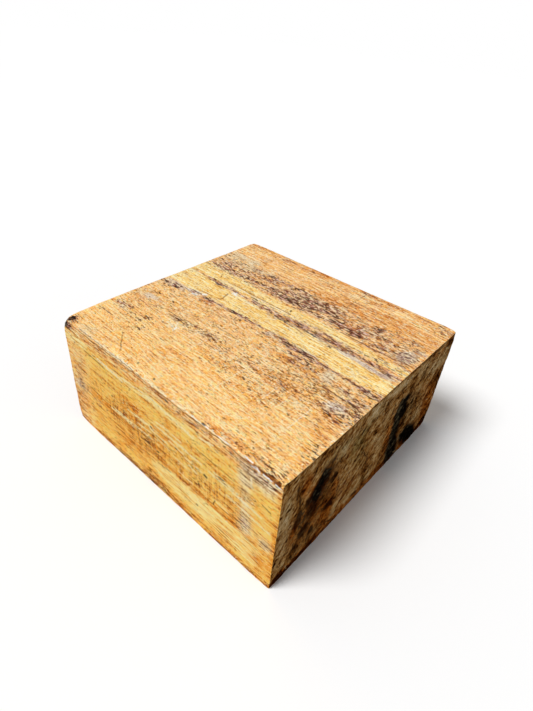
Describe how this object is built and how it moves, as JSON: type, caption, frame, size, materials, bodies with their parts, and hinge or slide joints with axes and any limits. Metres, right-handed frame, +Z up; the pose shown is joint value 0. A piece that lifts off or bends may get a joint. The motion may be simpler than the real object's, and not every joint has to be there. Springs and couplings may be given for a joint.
{
  "type": "wood block",
  "caption": "Heavy near-square offcut of sawn timber with worn edges and decayed end grain, used as a free-standing block.",
  "frame": {"origin": "middle of the bottom of the block's box, on the surface that it stands on", "axes": "+X along the grain, from the hidden sawn end to the decayed sawn end; +Y across the grain, away from the front long-grain side; +Z up, through the thickness of the timber"},
  "size_m": [0.304, 0.2994, 0.139],
  "materials": {
    "weathered_wood": "bare, dry, rough-sawn and worn"
  },
  "bodies": {
    "root": {"wood_block": "weathered_wood"}
  },
  "joints": []
}
